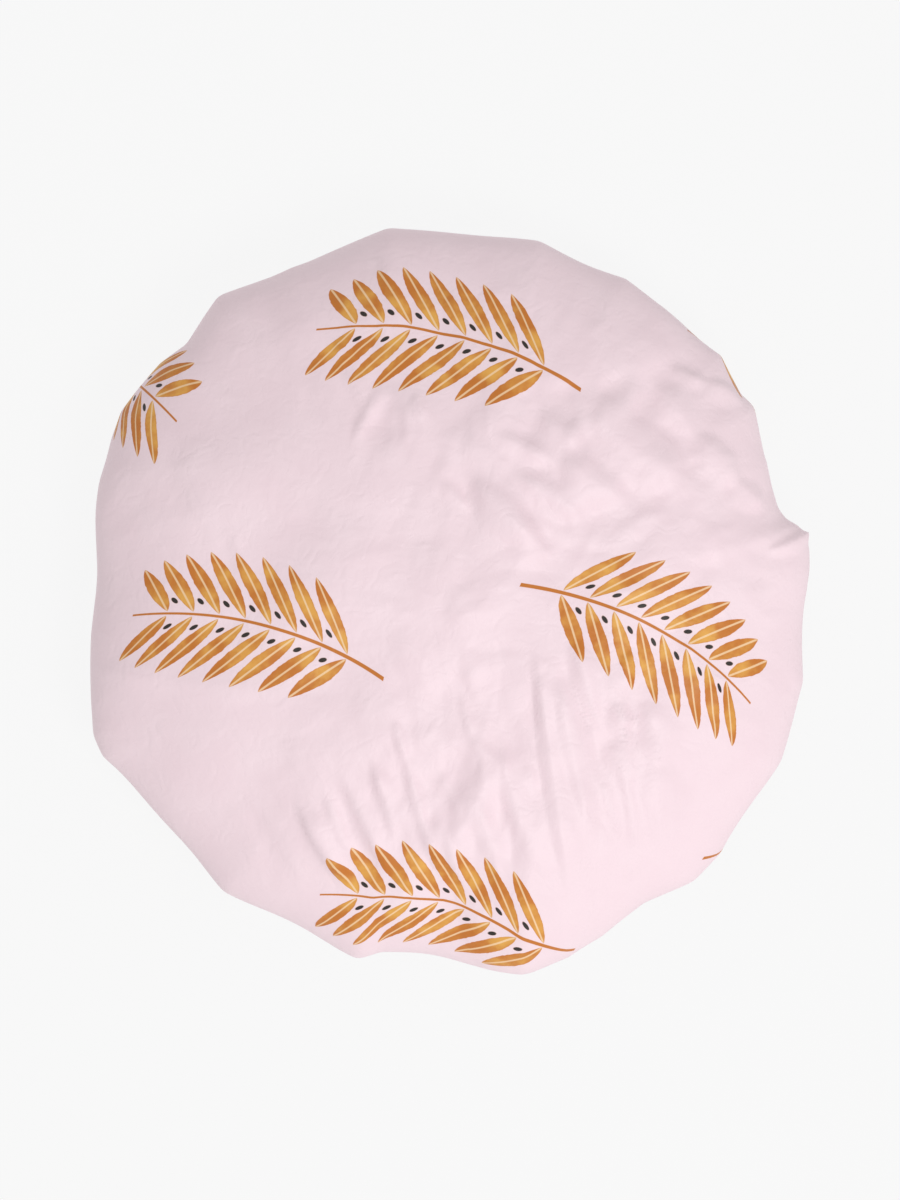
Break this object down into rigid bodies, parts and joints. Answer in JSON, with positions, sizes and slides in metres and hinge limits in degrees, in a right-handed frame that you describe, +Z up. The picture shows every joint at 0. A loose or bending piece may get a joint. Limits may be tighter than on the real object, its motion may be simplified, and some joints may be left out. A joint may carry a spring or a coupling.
{
  "type": "shower cap",
  "caption": "Round shower cap of pale pink printed waterproof fabric with a thin lining, gathered into a bound elastic hem, lying puffed up with its opening down.",
  "frame": {"origin": "on the table, under the middle of the cap's box", "axes": "+Z up through the crown, +Y towards the back, where the elastic and the binding are joined, +X to the wearer's right as the cap is seen from above"},
  "size_m": [0.2818, 0.289, 0.077],
  "materials": {
    "cover_fabric": "satin",
    "lining_film": "satin",
    "binding_tape": "satin",
    "braided_elastic": "matte",
    "sewing_thread": "matte"
  },
  "bodies": {
    "root": {"outer_cover": "cover_fabric", "inner_lining": "lining_film", "hem_binding": "binding_tape", "elastic_band": "braided_elastic", "elastic_join_tack": "sewing_thread", "hem_needle_thread": "sewing_thread", "hem_bobbin_thread": "sewing_thread", "binding_end_seam": "sewing_thread"}
  },
  "joints": []
}
